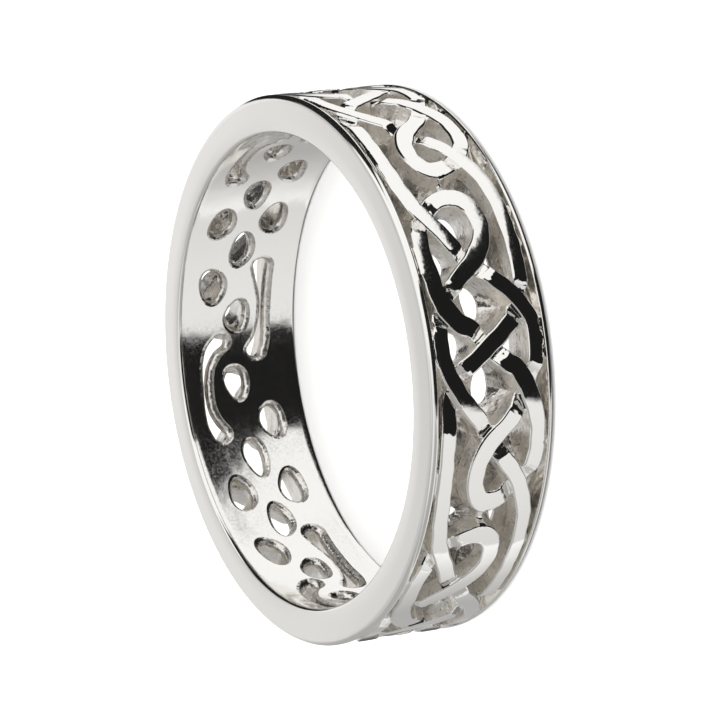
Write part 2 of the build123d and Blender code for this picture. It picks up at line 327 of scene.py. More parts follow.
@dataclass
class Weave:
    """The endless strand of one repeat, and the surface that its turns make."""

    size: RingSize
    shape: StrandShape = field(default_factory=StrandShape)
    points_per_row: int = 6
    rail_groove: float = 0.10
    slope_step: float = 0.004
    waver_lengths: tuple[float, ...] = (2.3, 1.4, 0.8)
    waver_shift: float = 0.022
    waver_breadth: float = 0.055
    seed: int = 4
    reach: float = 1.0
    passes: list[Pass] = field(init=False)
    crossings: list[Crossing] = field(init=False)

    def __post_init__(self) -> None:
        """Finds the crossings, dives the lower strands and cuts the runs into passes."""
        rng = np.random.default_rng(self.seed)
        runs = [self.uneven(self.smooth(rows), rng) for rows in (LOOPING_RUN, DIAGONAL_RUN)]
        places = self.find_crossings(runs)
        own: dict[tuple[int, int], Pass] = {}
        for number, run in enumerate(runs):
            mine = sorted((p for p in places if p.run == number), key=lambda p: p.at)
            self.dive(run, mine, slow_first=number == 1)
            cuts = [0.0] + [(a.at + b.at) / 2 for a, b in zip(mine, mine[1:])]
            cuts.append(len(run) - 1.0)
            for place, low, high in zip(mine, cuts, cuts[1:]):
                own[number, place.order] = Pass(run[int(low):math.ceil(high) + 1])
        self.crossings = []
        for place in places:
            if place.over:
                other = next(p for p in places if p is not place and p.pair == place.pair)
                self.crossings.append(Crossing(own[place.run, place.order],
                                               own[other.run, other.order]))
        bridge = self.smooth(HOOK_BRIDGE) + [0, 0, 0, self.shape.bridge_depth]
        shift = np.array([self.size.repeat_length, 0, 0, 0])
        self.passes = [Pass(p.chain + k * shift)
                       for k in (-1, 0, 1) for p in [*own.values(), Pass(bridge)]]

    def smooth(self, rows: Rows) -> Array:
        """Points on the smooth curve through a run's rows.

        Args:
            rows: the run's table.

        Returns:
            Flat x, flat y, half width and dive of each point.
        """
        table = np.array(rows)
        table = np.vstack((2 * table[0] - table[1], table, 2 * table[-1] - table[-2]))
        points = []
        for a, b, c, d in zip(table, table[1:], table[2:], table[3:]):
            for step in range(self.points_per_row):
                s = step / self.points_per_row
                points.append(b + 0.5 * s * ((c - a) + s * (2 * a - 5 * b + 4 * c - d)
                                             + s * s * (3 * b - a - 3 * c + d)))
        points.append(table[-2])
        run = np.array(points)
        flat = run * [self.size.repeat_length, self.size.width, self.shape.width / 2]
        return np.column_stack((flat, np.zeros(len(flat))))

    def uneven(self, run: Array, rng: np.random.Generator) -> Array:
        """The run with the small waver of a strand that was filed by hand.

        Args:
            run: the run's points.
            rng: gives the waver its phases.

        Returns:
            The same points, a little aside and a little broader or narrower.
        """
        along = lengths_along(run)
        from_end = np.minimum(along, along[-1] - along)
        waves = 2 * np.pi * along[:, None] / self.waver_lengths
        aside, broader = (np.sin(waves + rng.uniform(0, 2 * np.pi, waves.shape[1])).mean(axis=1)
                          * np.clip(from_end, 0, 1) for _ in range(2))
        side = left_of(np.gradient(run[:, :2], axis=0))
        wavered = run.copy()
        wavered[:, :2] += self.waver_shift * aside[:, None] * side
        wavered[:, 2] *= 1 + self.waver_breadth * broader
        return wavered

    def find_crossings(self, runs: list[Array]) -> list[Place]:
        """Every pass of a run over or under another.

        Args:
            runs: the looping run and the diagonal run.

        Returns:
            The places, two for each crossing.
        """
        legs = [(n, i) for n, run in enumerate(runs) for i in range(len(run) - 1)]
        start = np.array([runs[n][i] for n, i in legs])
        run = np.array([runs[n][i + 1] for n, i in legs]) - start
        found: list[Place] = []
        for k, (number, i) in enumerate(legs):
            others = np.arange(k + 2, len(legs))
            across = cross(run[k], run[others])
            between = start[others] - start[k]
            safe = np.where(np.abs(across) < PARALLEL, np.inf, across)
            here = cross(between, run[others]) / safe
            there = cross(between, run[k]) / safe
            hit = (here >= 0) & (here < 1) & (there >= 0) & (there < 1) & np.isfinite(safe)
            for j, a, b in zip(others[hit], here[hit], there[hit]):
                sine = abs(cross(run[k], run[j])) / (
                    math.hypot(*run[k, :2]) * math.hypot(*run[j, :2]))
                pair = len(found) // 2
                found.append(Place(number, i + a, pair, start[j, 2] / sine))
                found.append(Place(legs[j][0], legs[j][1] + b, pair, start[k, 2] / sine))
        for number in range(len(runs)):
            mine = sorted((p for p in found if p.run == number), key=lambda p: p.at)
            for order, place in enumerate(mine):
                place.order = order
                place.over = (order + number) % 2 == 0
        return found

    def dive(self, run: Array, places: list[Place], slow_first: bool) -> None:
        """Lowers a run where it passes under another.

        Args:
            run: the run's points, whose last column is changed.
            places: the run's passes.
            slow_first: True where the run goes down slowly to its first pass.
        """
        along = lengths_along(run)
        for place in places:
            if place.over:
                continue
            centre = np.interp(place.at, np.arange(len(run)), along)
            slow = slow_first and place.order == 0
            before = self.shape.long_dive_length if slow else self.shape.dive_length
            away = along - centre
            ramp = np.where(away < 0, before, self.shape.dive_length)
            rise = np.clip((np.abs(away) - place.hidden) / ramp, 0, 1)
            depth = self.shape.dive_depth * (1 - rise * rise * (3 - 2 * rise))
            run[:, 3] = np.maximum(run[:, 3], depth)

    def folded(self, flat: Array) -> Array:
        """The same flat points, moved by whole repeats into the first one."""
        length = self.size.repeat_length
        return np.column_stack(((flat[:, 0] + length / 2) % length - length / 2, flat[:, 1]))

    def open_distance(self, flat: Array) -> Array:
        """Distance into the open gap from the nearest strand side or rail.

        Args:
            flat: flat points within a repeat and a half of the first crossing.

        Returns:
            Positive distances in a gap and negative ones on metal.
        """
        nearest = self.size.rail_inside - self.rail_groove - np.abs(flat[:, 1])
        for strand in self.passes:
            close = strand.reaches(flat, self.reach)
            if close.any():
                gap, half, _ = strand.nearest(flat[close])
                nearest[close] = np.minimum(nearest[close], gap - half)
        return nearest

    def drop(self, flat: Array) -> Array:
        """How far the metal's surface lies under the outside radius.

        Args:
            flat: flat points anywhere round the band.

        Returns:
            A depth in millimetres for each point.
        """
        points = self.folded(flat)
        lowest = self.size.outer_radius - self.size.bore_radius - self.size.sleeve_wall
        surface = np.minimum(
            self.shape.edge(np.abs(points[:, 1]) - self.size.rail_inside), lowest)
        for strand in self.passes:
            close = strand.reaches(points, self.shape.width)
            if close.any():
                gap, half, dive = strand.nearest(points[close])
                crown = self.shape.crown * np.minimum(gap / half, 1) ** 2
                height = dive + crown + self.shape.edge(half - gap)
                surface[close] = np.minimum(surface[close], height)
        return surface

    def normals(self, flat: Array) -> Array:
        """Outward directions square to the metal's surface.

        Args:
            flat: flat points anywhere round the band.

        Returns:
            A unit vector for each point.
        """
        slopes = [(self.drop(flat + step) - self.drop(flat - step)) / (2 * self.slope_step)
                  for step in np.eye(2) * self.slope_step]
        shrink = 1 - self.drop(flat) / self.size.outer_radius
        outward, forward = self.size.directions(flat[:, 0])
        normal = outward + forward * (slopes[0] / shrink)[:, None]
        normal[:, 2] = slopes[1]
        return normal / np.linalg.norm(normal, axis=1, keepdims=True)


def trace_loops(values: Array, xs: Array, ys: Array) -> list[Array]:
    """Closed outlines of the places where a field on a grid is above zero.

    Args:
        values: the field, a row for each x and a column for each y.
        xs: the grid's x values.
        ys: the grid's y values.

    Returns:
        Each outline's points in order.
    """
    inside = values > 0
    links: dict[tuple, list[tuple]] = {}
    corners = inside[:-1, :-1].astype(int) + inside[1:, :-1] + inside[1:, 1:] + inside[:-1, 1:]
    for i, j in zip(*np.nonzero((corners > 0) & (corners < 4))):
        ring = [(i, j), (i + 1, j), (i + 1, j + 1), (i, j + 1)]
        cut = []
        for a, b in zip(ring, ring[1:] + ring[:1]):
            if inside[a] != inside[b]:
                cut.append((min(a, b), max(a, b)))
        pairs = [cut] if len(cut) == 2 else [cut[0:2], cut[2:4]]
        if len(cut) == 4 and (values[i:i + 2, j:j + 2].mean() > 0) == inside[i, j]:
            pairs = [[cut[0], cut[1]], [cut[2], cut[3]]]
        for a, b in pairs:
            links.setdefault(a, []).append(b)
            links.setdefault(b, []).append(a)
    loops = []
    unused = set(links)
    while unused:
        first = min(unused)
        path, here = [first], first
        unused.discard(first)
        while True:
            onward = [edge for edge in links[here] if edge in unused]
            if not onward:
                break
            here = onward[0]
            unused.discard(here)
            path.append(here)
        if first in links[here] and len(path) > 2:
            points = []
            for a, b in path:
                share = values[a] / (values[a] - values[b])
                points.append((xs[a[0]] + share * (xs[b[0]] - xs[a[0]]),
                               ys[a[1]] + share * (ys[b[1]] - ys[a[1]])))
            loops.append(np.array(points))
    return loops


def signed_area(loop: Array) -> float:
    """Area of a closed outline, positive where it runs anticlockwise."""
    return float(cross(loop, np.roll(loop, -1, axis=0)).sum() / 2)


def holds(loop: Array, point: Sequence[float]) -> bool:
    """Tells whether a closed outline goes round a point.

    Args:
        loop: the outline's flat points.
        point: the point's flat x and y.

    Returns:
        True if it does.
    """
    ahead = np.roll(loop, -1, axis=0)
    spans = (loop[:, 1] > point[1]) != (ahead[:, 1] > point[1])
    rise = np.where(spans, ahead[:, 1] - loop[:, 1], 1)
    crossing = loop[:, 0] + (point[1] - loop[:, 1]) / rise * (ahead[:, 0] - loop[:, 0])
    return bool((spans & (crossing > point[0])).sum() % 2)


def resampled(loop: Array, count: int) -> Array:
    """Spaces the points of a closed outline evenly.

    Args:
        loop: the outline's flat points.
        count: how many points it gets.

    Returns:
        The same outline's new points, from the same first one.
    """
    closed = np.vstack((loop, loop[:1]))
    along = lengths_along(closed)
    at = np.linspace(0, along[-1], count, endpoint=False)
    return np.column_stack([np.interp(at, along, closed[:, k]) for k in (0, 1)])


def outward(loop: Array) -> Array:
    """Unit vectors that point out of an anticlockwise outline at its points."""
    return -left_of(np.roll(loop, -1, axis=0) - np.roll(loop, 1, axis=0))


@dataclass
class Gap:
    """One gap of the weave, open to the bore through an oval or closed by the sleeve.

    The outline lies outside, the oval at the bore and the throat between them, point for
    point, and each point of the outline has the radius of the metal's edge there.
    """

    outline: Array
    oval: Array | None = None
    throat: Array | None = None
    edge_radii: Array | None = None

    def shifted(self, x: float) -> "Gap":
        """The same gap further along the band."""
        rings = (self.outline, self.oval, self.throat)
        return Gap(*(None if ring is None else ring + [x, 0] for ring in rings))


@dataclass(frozen=True)
class GapCutter:
    """Finds the gaps between the strands of one repeat and their ovals at the bore."""

    weave: Weave
    traced_share: float = 0.75
    grid_step: float = 0.03
    point_spacing: float = 0.088
    least_points: int = 16
    least_area: float = 0.02
    oval_points: int = 240
    oval_inset: float = 0.17
    slot_inset: float = 0.22
    unevenness: float = 0.05
    tip_turn: float = 80.0
    tip_points: int = 17
    seed: int = 11

    def gaps(self) -> list[Gap]:
        """Traces every gap of one repeat and pairs it with its window.

        Returns:
            The gaps, without the radii of their edges.
        """
        size = self.weave.size
        length = size.repeat_length
        end = self.traced_share * length
        xs = np.arange(-end, end, self.grid_step)
        ys = np.arange(-size.width / 2, size.width / 2 + self.grid_step, self.grid_step)
        grid = np.stack(np.meshgrid(xs, ys, indexing="ij"), axis=-1)
        values = self.weave.open_distance(grid.reshape(-1, 2)).reshape(grid.shape[:2])
        rng = np.random.default_rng(self.seed)
        found = []
        for loop in trace_loops(values, xs, ys):
            if signed_area(loop) < 0:
                loop = loop[::-1]
            middle = loop.mean(axis=0)[0]
            if signed_area(loop) < self.least_area or not -length / 2 <= middle < length / 2:
                continue
            around = np.linalg.norm(np.diff(loop, axis=0), axis=1).sum()
            outline = resampled(loop, max(self.least_points, round(around / self.point_spacing)))
            found.append(Gap(outline, *self.oval_beside(outline, rng)))
        log.info("gaps in a repeat: %d, of them windows: %d",
                 len(found), sum(gap.oval is not None for gap in found))
        return found

    def oval_beside(self, outline: Array,
                    rng: np.random.Generator) -> tuple[Array, Array] | tuple[None, None]:
        """The opening that a gap leaves at the bore and the throat above it.

        Args:
            outline: the gap's outline outside.
            rng: gives each oval the small unevenness of hand finishing.

        Returns:
            As many points of both as the outline has, each paired with one of them, or
            nothing where the sleeve closes the gap.
        """
        size = self.weave.size
        openings = [(row[:2], self.oval(row[2:], rng), self.oval_inset) for row in WINDOWS]
        openings += [(seed, self.slot(rows), self.slot_inset) for seed, rows in SLOTS]
        for seed, opening, inset in openings:
            for k in (-1, 0, 1):
                shift = np.array([k * size.repeat_length, 0])
                if holds(outline - shift, (seed[0] * size.repeat_length, seed[1] * size.width)):
                    ring = resampled(opening, len(outline)) + shift
                    offsets = [((np.roll(ring, -n, axis=0) - outline) ** 2).sum()
                               for n in range(len(ring))]
                    ring = np.roll(ring, -int(np.argmin(offsets)), axis=0)
                    return ring, ring - inset * outward(ring)
        return None, None

    def oval(self, row: Sequence[float], rng: np.random.Generator) -> Array:
        """A slightly uneven oval.

        Args:
            row: its along, across, half length, half height and tilt, as in the table.
            rng: gives it its unevenness.

        Returns:
            The outline's flat points, anticlockwise.
        """
        size = self.weave.size
        along, across, half_length, half_height, tilt = row
        turn = np.linspace(0, 2 * np.pi, self.oval_points, endpoint=False)
        wobble = np.ones(self.oval_points)
        for waves in (2, 3):
            wobble += self.unevenness * np.sin(waves * turn + rng.uniform(0, 2 * np.pi))
        x = half_length * size.repeat_length * np.cos(turn) * wobble
        y = half_height * size.width * np.sin(turn) * wobble
        angle = math.radians(tilt)
        return np.column_stack((
            along * size.repeat_length + x * math.cos(angle) - y * math.sin(angle),
            across * size.width + x * math.sin(angle) + y * math.cos(angle)))

    def slot(self, rows: Rows) -> Array:
        """The outline of a long window that follows a centre line.

        Args:
            rows: the centre line's table.

        Returns:
            The outline's flat points, anticlockwise, round at both ends.
        """
        line = self.weave.smooth(rows)
        half = line[:, 2:3]
        run = np.gradient(line[:, :2], axis=0)
        run /= np.linalg.norm(run, axis=1, keepdims=True)
        side = np.column_stack((-run[:, 1], run[:, 0]))
        turn = np.radians(np.linspace(-self.tip_turn, self.tip_turn, self.tip_points))[:, None]
        tip = line[-1, :2] + half[-1] * (np.cos(turn) * run[-1] + np.sin(turn) * side[-1])
        tail = line[0, :2] - half[0] * (np.cos(turn) * run[0] + np.sin(turn) * side[0])
        return np.vstack((line[:, :2] - half * side, tip,
                          (line[:, :2] + half * side)[::-1], tail))


class Surface(Enum):
    """Which finish a face of the ring has."""

    POLISHED = 0
    CAST = 1
    SATIN = 2
    BUFFED = 3
    TUMBLED = 4


@dataclass
class MeshParts:
    """Points, triangles and crisp edges that add up to one mesh."""

    points: list[Array] = field(default_factory=list)
    faces: list[tuple[int, ...]] = field(default_factory=list)
    surfaces: list[int] = field(default_factory=list)
    crisp: list[tuple[int, int]] = field(default_factory=list)
    corner_normals: Array | None = None
    count: int = 0

    def add_points(self, points: Array) -> int:
        """Adds points.

        Args:
            points: their coordinates.

        Returns:
            The number of the first.
        """
        first = self.count
        self.points.append(points)
        self.count += len(points)
        return first

    def add_faces(self, faces: Iterable[Sequence[int]], surface: Surface) -> None:
        """Adds faces of one finish.

        Args:
            faces: the point numbers of each.
            surface: their finish.
        """
        new = [tuple(int(i) for i in face) for face in faces]
        self.faces += new
        self.surfaces += [surface.value] * len(new)

    def join(self, first: Sequence[int], second: Sequence[int], surface: Surface) -> None:
        """Joins two closed rings of points with a strip of faces.

        Args:
            first: the point numbers of one ring.
            second: as many of the other.
            surface: the strip's finish.
        """
        ahead = list(range(1, len(first))) + [0]
        self.add_faces(((first[i], first[k], second[k], second[i])
                        for i, k in enumerate(ahead)), surface)

    def add_ring(self, above: Sequence[int], points: Array, surface: Surface) -> list[int]:
        """Adds a closed ring of points and joins it to another.

        Args:
            above: the point numbers of the other ring.
            points: the coordinates of as many new points.
            surface: the finish of the strip between them.

        Returns:
            The new ring's point numbers.
        """
        first = self.add_points(points)
        below = list(range(first, first + len(points)))
        self.join(above, below, surface)
        return below

    def mark_crisp(self, ring: Sequence[int]) -> None:
        """Keeps the edges of a closed ring of points crisp."""
        self.crisp += list(zip(ring, list(ring[1:]) + [ring[0]]))


@dataclass
class Field:
    """Triangles over the unrolled band between two circles, with closed outlines cut out.

    Loops bound the metal, and the first of them is a circle at the band's edge. Lines are
    closed rings that stay edges in the metal, and loose points only make it finer. The
    length and radius are those of the band's outside.
    """

    length: float
    radius: float
    loops: list[Array] = field(default_factory=list)
    lines: list[Array] = field(default_factory=list)
    loose: list[Array] = field(default_factory=list)
    same_place: float = 1e-7

    def wrapped(self, flat: Array) -> Array:
        """Lays the band round a disc, so that its two ends meet.

        Args:
            flat: flat points.

        Returns:
            The points' places on the disc.
        """
        turn = flat[:, 0] * 2 * np.pi / self.length
        reach = np.exp(flat[:, 1] * 2 * np.pi / self.length)
        return np.column_stack((reach * np.cos(turn), reach * np.sin(turn)))

    def scatter(self, points: Array, least: float) -> None:
        """Adds the loose points that keep their distance from all that is there.

        Args:
            points: flat points to choose from.
            least: the distance to keep, in millimetres at the band's middle.
        """
        there = self.wrapped(np.vstack(self.loops + self.lines + self.loose)) * self.radius
        tree = KDTree(len(there))
        for number, place in enumerate(there):
            tree.insert((place[0], place[1], 0), number)
        tree.balance()
        wanted = self.wrapped(points) * self.radius
        self.loose.append(points[[tree.find((p[0], p[1], 0))[2] > least for p in wanted]])

    def triangles(self) -> tuple[Array, Array, list[Array]]:
        """Fills the band with triangles.

        Returns:
            The flat points, the triangles, and each loop's point numbers.
        """
        closed = self.loops + self.lines
        flat = np.vstack(closed + self.loose)
        starts = np.concatenate(([0], np.cumsum([len(ring) for ring in closed])))
        edges = [[(int(start + i), int(start + (i + 1) % len(ring))) for i in range(len(ring))]
                 for start, ring in zip(starts, closed)]
        rims = sum(edges[:len(self.loops)], [])
        made, _, faces, origins, _, _ = delaunay_2d_cdt(
            [Vector(p) for p in self.wrapped(flat)], sum(edges, []), [], 0,
            self.same_place, True)
        new_number = np.full(len(flat), -1)
        for number, sources in enumerate(origins):
            new_number[list(sources)] = number
        walls = {frozenset((int(new_number[a]), int(new_number[b]))) for a, b in rims}
        places = np.zeros((len(made), 2))
        for old, new in enumerate(new_number):
            places[new] = flat[old]
        kept = self.reached(faces, walls, new_number[0], new_number[1], places)
        rings = [new_number[a:b] for a, b in zip(starts, starts[1:])][:len(self.loops)]
        return places, np.array(kept), rings

    @staticmethod
    def reached(faces: list[Sequence[int]], walls: set[frozenset], first: int, second: int,
                places: Array) -> list[Sequence[int]]:
        """The triangles that can be reached from one beside the band's edge.

        Args:
            faces: every triangle.
            walls: the edges of the outlines, which aren't crossed.
            first: one end of an edge on the band's rim.
            second: the edge's other end.
            places: the flat points.

        Returns:
            The triangles of the metal, without those in the gaps and outside.
        """
        beside: dict[frozenset, list[int]] = {}
        for number, face in enumerate(faces):
            for a, b in zip(face, list(face[1:]) + [face[0]]):
                beside.setdefault(frozenset((a, b)), []).append(number)
        beside_rim = beside[frozenset((int(first), int(second)))]
        start = min(beside_rim, key=lambda number: abs(places[list(faces[number]), 1].mean()))
        seen, waiting = {start}, [start]
        while waiting:
            face = faces[waiting.pop()]
            for a, b in zip(face, list(face[1:]) + [face[0]]):
                edge = frozenset((a, b))
                if edge in walls:
                    continue
                for other in beside[edge]:
                    if other not in seen:
                        seen.add(other)
                        waiting.append(other)
        return [faces[number] for number in sorted(seen)]


@dataclass
class PiercedBand:
    """The whole ring as one mesh: tops, gap walls, bore and edges.

    A clearance is the least distance kept between points of the mesh. Turns and angles are
    degrees. The walls of a gap lean in by the lean's share at once and by the rest near the
    throat.
    """

    size: RingSize
    weave: Weave
    cutter: GapCutter
    steps_round: int = 360
    grid_spacing: float = 0.15
    grid_clearance: float = 0.070
    offsets: tuple[float, ...] = (0.028, 0.070)
    offset_share: float = 0.7
    offset_clearance: float = 0.021
    crossing_lines: tuple[float, ...] = (-0.085, -0.040, 0.0, 0.030, 0.060, 0.100)
    crossing_spacing: float = 0.05
    crossing_clearance: float = 0.026
    crossing_slack: float = 0.01
    least_dive: float = 0.05
    rail_rows: tuple[float, ...] = (-0.060, -0.025, 0.0, 0.025, 0.060)
    cast_depth: float = 0.33
    corner_share: float = 0.25
    crisp_angle: float = 40.0
    wall_steps: int = 6
    wall_lean: float = 0.22
    tumbled_depth: float = 0.6
    throat_height: float = 0.32
    dish_turns: tuple[float, ...] = (22, 45, 68)
    rim_flare: float = 0.07
    bore_spacing: float = 0.42
    bore_offset_scale: float = 3.0
    bore_clearance_scale: float = 2.0
    outer_turns: tuple[float, ...] = (15, 30, 45, 60, 75, 90)
    inner_turns: tuple[float, ...] = (90, 67.5, 45, 22.5)

    def build(self) -> bpy.types.Object:
        """Builds the ring.

        Returns:
            Its mesh object, with a material index for each face but no material yet.
        """
        parts = MeshParts()
        found = self.cutter.gaps()
        gaps = [gap.shifted(k * self.size.repeat_length)
                for k in range(self.size.repeats) for gap in found]
        outside_rims, outlines = self.add_outside(parts, gaps)
        bore_rims, ovals = self.add_bore(parts, gaps)
        self.add_walls(parts, gaps, outlines, ovals)
        for side, outside, bore in zip((-1, 1), outside_rims, bore_rims):
            self.add_edge(parts, outside, bore, side)
        return self.finished(parts)

    def circle(self, y: float) -> Array:
        """Evenly spaced flat points right round the band at one height."""
        x = np.arange(self.steps_round) * self.length / self.steps_round
        return np.column_stack((x, np.full(self.steps_round, y)))

    @property
    def length(self) -> float:
        """Length of the unrolled outside."""
        return self.size.repeat_length * self.size.repeats

    def honeycomb(self, spacing: float, half_width: float) -> Array:
        """Flat points in staggered rows right round the band.

        Args:
            spacing: the distance between neighbours.
            half_width: how far the rows reach to each side of the middle.

        Returns:
            The points, row by row.
        """
        rows = math.ceil(2 * half_width / (spacing * math.sqrt(3) / 2))
        columns = round(self.length / spacing)
        x = np.arange(columns) * self.length / columns
        points = []
        for row, y in enumerate(np.linspace(-half_width, half_width, rows + 1)):
            shifted = x + (row % 2) * self.length / columns / 2
            points.append(np.column_stack((shifted, np.full(columns, y))))
        return np.vstack(points)

    def every_repeat(self, points: Array) -> Array:
        """The same flat points in every repeat."""
        return np.vstack([points + [k * self.size.repeat_length, 0]
                          for k in range(self.size.repeats)])

    def beside_crossings(self) -> Array:
        """Rows of points beside each upper strand, where it crosses a lower one.

        Returns:
            The flat points of one repeat.
        """
        lines = []
        for crossing in self.weave.crossings:
            chain = crossing.over.chain
            along = lengths_along(chain)
            at = np.arange(0, along[-1], self.crossing_spacing)
            fine = np.column_stack([np.interp(at, along, chain[:, k]) for k in range(3)])
            side = left_of(np.gradient(fine[:, :2], axis=0))
            for offset in self.crossing_lines:
                for turn in (1, -1):
                    line = fine[:, :2] + turn * side * (fine[:, 2:3] + offset)
                    gap, half, dive = crossing.under.nearest(line)
                    own = crossing.over.nearest(line)
                    covered = (gap < half - self.offsets[0]) & (dive > self.least_dive)
                    straight = own[0] > own[1] + offset - self.crossing_slack
                    lines.append(line[covered & straight])
        return np.vstack(lines)

    def add_outside(self, parts: MeshParts, gaps: list[Gap]) -> tuple[list, list]:
        """Adds the tops of strands and rails.

        Args:
            parts: the mesh so far.
            gaps: every gap of the ring.

        Returns:
            The point numbers of the two edge circles and of each gap's outline.
        """
        size = self.size
        half = size.width / 2 - size.outer_edge_round
        loops = [self.circle(-half), self.circle(half)] + [gap.outline for gap in gaps]
        rails = [self.circle(side * (size.rail_inside + row))
                 for row in self.rail_rows for side in (-1, 1)]
        tops = Field(self.length, size.outer_radius, loops, rails)
        tops.scatter(self.every_repeat(self.beside_crossings()), self.crossing_clearance)
        for offset in self.offsets:
            ring = np.vstack([gap.outline + offset * outward(gap.outline) for gap in gaps])
            depths = -self.weave.open_distance(self.weave.folded(ring))
            tops.scatter(ring[depths > self.offset_share * offset], self.offset_clearance)
        grid = self.honeycomb(self.grid_spacing, size.rail_inside - self.weave.rail_groove)
        grid = grid[self.weave.open_distance(self.weave.folded(grid)) < -self.offsets[-1]]
        tops.scatter(grid, self.grid_clearance)
        flat, faces, rings = tops.triangles()
        drops = self.weave.drop(flat)
        radii = size.outer_radius - drops
        first = parts.add_points(size.place(flat, radii))
        deep = drops[faces].min(axis=1) > self.cast_depth
        order = np.concatenate((faces[~deep], faces[deep]))
        parts.add_faces(faces[~deep] + first, Surface.POLISHED)
        parts.add_faces(faces[deep] + first, Surface.CAST)
        corners = flat[order]
        corners[..., 0] -= self.length * np.round(
            (corners[..., 0] - corners[:, :1, 0]) / self.length)
        corners += self.corner_share * (corners.mean(axis=1, keepdims=True) - corners)
        parts.corner_normals = self.weave.normals(corners.reshape(-1, 2)).reshape(-1, 3, 3)
        rings = [ring + first for ring in rings]
        for gap, ring in zip(gaps, rings[2:]):
            gap.edge_radii = radii[ring - first]
            parts.mark_crisp(list(ring))
        log.info("outside: %d triangles", len(faces))
        return rings[:2], rings[2:]

    def add_bore(self, parts: MeshParts, gaps: list[Gap]) -> tuple[list, list]:
        """Adds the smooth bore with its ovals.

        Args:
            parts: the mesh so far.
            gaps: every gap of the ring.

        Returns:
            The point numbers of the two edge circles and of each window's oval.
        """
        size = self.size
        half = size.width / 2 - size.bore_edge_round
        ovals = [gap.oval + self.rim_flare * outward(gap.oval)
                 for gap in gaps if gap.oval is not None]
        inside = Field(self.length, size.outer_radius,
                       [self.circle(-half), self.circle(half)] + ovals)
        for offset in self.offsets:
            away = self.bore_offset_scale * offset
            inside.scatter(np.vstack([oval + away * outward(oval) for oval in ovals]),
                           self.bore_clearance_scale * offset)
        inside.scatter(self.honeycomb(self.bore_spacing, half - self.bore_spacing / 2),
                       self.bore_spacing / 3)
        flat, faces, rings = inside.triangles()
        first = parts.add_points(size.place(flat, size.bore_at(flat[:, 1])))
        parts.add_faces(faces + first, Surface.BUFFED)
        log.info("bore: %d triangles", len(faces))
        rings = [ring + first for ring in rings]
        for ring in rings[2:]:
            parts.mark_crisp(list(ring))
        return rings[:2], rings[2:]

    def add_walls(self, parts: MeshParts, gaps: list[Gap], outlines: list, ovals: list) -> None:
        """Adds the sloping walls of each gap, down to its oval or to a closed floor.

        Args:
            parts: the mesh so far.
            gaps: every gap of the ring.
            outlines: the point numbers of each gap's outline.
            ovals: the point numbers of each window's oval at the bore.
        """
        size = self.size
        ovals = list(ovals)
        for gap, outline in zip(gaps, outlines):
            closed = gap.oval is None
            middle = gap.outline.mean(axis=0)
            throat = np.tile(middle, (len(gap.outline), 1)) if closed else gap.throat
            wall = size.sleeve_wall if closed else self.throat_height
            low = size.bore_at(throat[:, 1]) + wall
            above = list(outline)
            steps = np.linspace(0, 1, self.wall_steps + 1)[1:-1 if closed else None]
            for depth in steps:
                drawn_in = self.wall_lean * depth + (1 - self.wall_lean) * depth ** 3
                flat = gap.outline + drawn_in * (throat - gap.outline)
                radii = gap.edge_radii + depth * (low - gap.edge_radii)
                cast = closed or depth < self.tumbled_depth
                above = parts.add_ring(above, size.place(flat, radii),
                                       Surface.CAST if cast else Surface.TUMBLED)
            if closed:
                centre = parts.add_points(size.place(middle[None, :], low[:1]))
                ahead = above[1:] + above[:1]
                parts.add_faces(((a, b, centre) for a, b in zip(above, ahead)), Surface.CAST)
                continue
            rim = gap.oval + self.rim_flare * outward(gap.oval)
            for turn in np.radians(self.dish_turns):
                flat = throat + (1 - math.cos(turn)) * (rim - throat)
                radii = size.bore_at(flat[:, 1]) + self.throat_height * (1 - math.sin(turn))
                above = parts.add_ring(above, size.place(flat, radii), Surface.TUMBLED)
            parts.join(above, list(ovals.pop(0)), Surface.TUMBLED)

    def add_edge(self, parts: MeshParts, outside: Array, bore: Array, side: int) -> None:
        """Adds one edge of the band: its two roundings and the flat face between.

        Args:
            parts: the mesh so far.
            outside: the point numbers of the outside's edge circle.
            bore: the point numbers of the bore's edge circle.
            side: 1 for the upper edge and -1 for the lower.
        """
        size = self.size
        outer, inner = size.outer_edge_round, size.bore_edge_round
        top = size.width / 2 - size.edge_fall
        profile = []
        for turn in np.radians(self.outer_turns):
            profile.append((size.outer_radius - outer * (1 - math.cos(turn)),
                            top - (outer - size.edge_fall) * (1 - math.sin(turn)),
                            Surface.POLISHED))
        profile.append(((size.outer_radius - outer + size.bore_radius + inner) / 2,
                        size.width / 2 - size.edge_fall / 2, Surface.SATIN))
        for number, turn in enumerate(np.radians(self.inner_turns)):
            profile.append((size.bore_radius + inner * (1 - math.cos(turn)),
                            size.width / 2 - inner * (1 - math.sin(turn)),
                            Surface.POLISHED if number else Surface.SATIN))
        above = list(outside)
        for radius, y, surface in profile:
            flat = self.circle(side * y)
            points = size.place(flat, np.full(len(flat), radius))
            above = parts.add_ring(above, points, surface)
        parts.join(above, list(bore), Surface.POLISHED)

